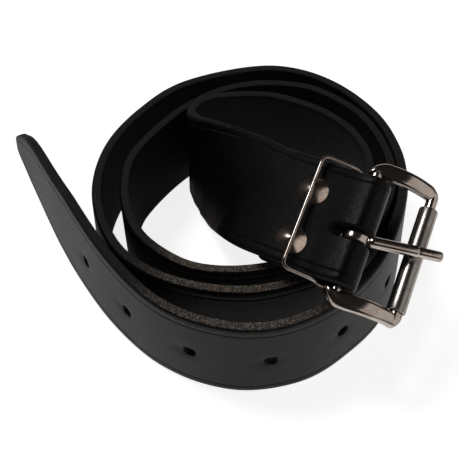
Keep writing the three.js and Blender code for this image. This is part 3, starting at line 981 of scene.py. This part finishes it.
blackLeather = {
    "grainColour": (0.0085, 0.0085, 0.0092, 1),
    "grainDeep": (0.005, 0.005, 0.0055, 1),
    "edgeDark": (0.03, 0.029, 0.0285, 1),
    "edgeDust": (0.075, 0.071, 0.068, 1),
    # the rubbed edge at the front: fibre specks, made paler by painted light
    "rubbedLitDark": (0.062, 0.055, 0.05, 1),
    "rubbedLitSpeck": (0.88, 0.76, 0.66, 1),
    "fleshColour": (0.0075, 0.0072, 0.007, 1),
    "fleshDust": (0.02, 0.019, 0.018, 1),
    "fleck": (0.085, 0.082, 0.08, 1),
    "sheen": 0.15,
    # roughness of the grain, and its change where the leather shines, on the edge and on the flesh
    "roughness": 0.28,
    "shineSmoother": 0.07,
    "edgeRougher": 0.38,
    "fleshRougher": 0.3,
    # places along V where the grain goes over into the cut edge, and the edge into the flesh
    "edgeFrom": (0.0203, 0.0207),
    "edgeTo": (0.0238, 0.0242),
    "fleshFrom": (0.0239, 0.0243),
    # the front of the coil, where the cut edges are rubbed to brown and also lightened as painted light; it
    # fades out backwards and at the top
    "rubbedLitMiddle": 0.012,
    "rubbedLitHalf": 0.034,
    "rubbedLitFade": (0.3, 1.7),
    "rubbedLitBack": (-0.045, -0.024),
    "rubbedLitTop": (0.0405, 0.0415),
    # distances from the tip between which the leather stretched over the bar starts to shine
    "foldShine": (1.1275, 1.134),
    # parts of each noise's range that show
    "mottled": (0.4, 0.62),
    "specks": (0.51, 0.66),
    "dusty": (0.45, 0.8),
    "flecked": (0.8, 0.83),
    "bumpStrength": 0.8,
    "bumpDepth": 0.00025,
}
# Noises in the leather: scale, detail, roughness
leatherNoise = {
    "slow": (28, 3, 0.55),
    "pores": (900, 4, 0.6),
    "fibres": (2700, 2, 0.6),
    "clumps": (700, 3, 0.6),
    "patches": (60, 2, 0.5),
    "dust": (700, 4, 0.7),
    "flecks": (640, 1, 0.3),
    "wrinkles": (330, 2, 0.5),
    "creases": (2500, 1, 0.5),
}
pebbleScale = 620


def makeLeather():
    leather = Finish("blackLeather")
    place = leather.place()
    noise = {name: leather.grain(place, *values) for name, values in leatherNoise.items()}
    strapPlace = leather.node("ShaderNodeUVMap", {"uv_map": "strap"}, {})
    along, over = leather.part(strapPlace, "X"), leather.part(strapPlace, "Y")
    onEdge = leather.step(over, *blackLeather["edgeFrom"]) - leather.step(over, *blackLeather["edgeTo"])
    onFlesh = leather.step(over, *blackLeather["fleshFrom"])
    # grain side: fine pores and slow mottling
    slow, pores = noise["slow"], noise["pores"]
    mottled = leather.step(slow * 0.6 + pores * 0.4, *blackLeather["mottled"])
    grainMix = leather.mix(mottled, blackLeather["grainDeep"], blackLeather["grainColour"])
    # cut edge: dyed dark, and rubbed down to brown with pale fibre ends at the front, where painted light
    # also makes it paler
    fibres, clumps = noise["fibres"], noise["clumps"]
    # painted light: the edge is paler at the front of the coil, fading out backwards and at the top
    sideways = (leather.part(place, "X") - blackLeather["rubbedLitMiddle"]) * (1 / blackLeather["rubbedLitHalf"])
    behind = leather.step(leather.part(place, "Y"), *blackLeather["rubbedLitBack"])
    above = leather.step(leather.part(place, "Z"), *blackLeather["rubbedLitTop"])
    faded = leather.step(sideways ** 2 + noise["patches"] * 0.8, *blackLeather["rubbedLitFade"])
    rubbedAndLit = (1 - faded) * (1 - behind) * (1 - above)
    specks = leather.step(fibres * 0.75 + clumps * 0.25, *blackLeather["specks"])
    dyedMix = leather.mix(specks, blackLeather["edgeDark"], blackLeather["edgeDust"])
    rubbedLitMix = leather.mix(specks, blackLeather["rubbedLitDark"], blackLeather["rubbedLitSpeck"])
    edgeMix = leather.mix(rubbedAndLit, dyedMix, rubbedLitMix)
    # flesh side: a little dust
    dust = leather.step(noise["dust"], *blackLeather["dusty"])
    fleshMix = leather.mix(dust, blackLeather["fleshColour"], blackLeather["fleshDust"])
    flecks = leather.step(noise["flecks"], *blackLeather["flecked"])
    clean = leather.mix(onFlesh, leather.mix(onEdge, grainMix, edgeMix), fleshMix)
    shine = leather.step(along, *blackLeather["foldShine"])
    smoother = blackLeather["roughness"] - shine * blackLeather["shineSmoother"]
    rougher = onEdge * blackLeather["edgeRougher"] + onFlesh * blackLeather["fleshRougher"]
    height = pores * 0.4 + leather.pebbles(place, pebbleScale) * 0.3 + noise["wrinkles"] * 0.12
    height = height + noise["creases"] * (1.2 - shine * 0.7) + onEdge * (fibres * 1.6 + clumps * 0.8)
    values = {
        "Base Color": leather.mix(flecks, clean, blackLeather["fleck"]),
        "Roughness": smoother + slow * 0.06 + pores * 0.12 + rougher,
        "Specular IOR Level": blackLeather["sheen"],
        "Normal": leather.bump(height, blackLeather["bumpStrength"], blackLeather["bumpDepth"]),
    }
    return leather.surface(values)


# Worn plating: colour, colour of its dull spots, roughness. The roller's and the keeper wire's are darker
# copies of the nickel as painted shade, the rivets' a paler, pinker copy as painted reflection
plates = {
    "nickelPlate": ((0.66, 0.6, 0.555, 1), (0.5, 0.44, 0.4, 1), 0.08),
    # painted shade: a darker copy of the nickel
    "rollerShadedPlate": ((0.4, 0.385, 0.37, 1), (0.27, 0.25, 0.235, 1), 0.18),
    # painted shade: a darker copy of the nickel
    "wireShadedPlate": ((0.46, 0.42, 0.39, 1), (0.26, 0.22, 0.19, 1), 0.06),
    # painted reflection: a paler, pinker copy of the nickel
    "rivetLitPlate": ((0.82, 0.71, 0.63, 1), (0.56, 0.47, 0.41, 1), 0.1),
}
wear = {
    "smudge": (130, 4, 0.6),
    "spots": (900, 3, 0.6),
    "scratches": (1, 3, 0.6),
    "scratchLengths": (350, 2600, 900),
    "dulled": (0.44, 0.66),
    "bumpStrength": 0.12,
    "bumpDepth": 0.0003,
}


def makePlate(name):
    # finger smudges, fine scratches and dull spots
    bright, dull, roughness = plates[name]
    plate = Finish(name)
    place = plate.place()
    smudge = plate.grain(place, *wear["smudge"])
    spots = plate.grain(place, *wear["spots"])
    scratches = plate.grain(plate.stretched(place, wear["scratchLengths"]), *wear["scratches"])
    dulled = plate.step(smudge * 0.7 + spots * 0.3, *wear["dulled"])
    height = smudge * 0.6 + scratches * 0.15
    values = {
        "Base Color": plate.mix(dulled, bright, dull),
        "Metallic": 1.0,
        "Roughness": roughness + smudge * 0.14 + scratches * 0.06,
        "Normal": plate.bump(height, wear["bumpStrength"], wear["bumpDepth"]),
    }
    return plate.surface(values)


blackHide = makeLeather()
# the roller's and the wire's finishes hold painted shade, the rivets' a painted reflection
nickel, rollerShadedNickel, wireShadedNickel, rivetLitNickel = [makePlate(name) for name in plates]
route, foldStart = makeStrap(blackHide)
makeFrame(nickel, wireShadedNickel)
makeRoller(rollerShadedNickel)
makeTongue(nickel)
makeRivet("rivet_lower_smooth", "rivet_lower", route, foldStart, strap["rivets"][0], rivetLitNickel)
makeRivet("rivet_upper_smooth", "rivet_upper", route, foldStart, strap["rivets"][1], rivetLitNickel)

print("the belt is dressed")
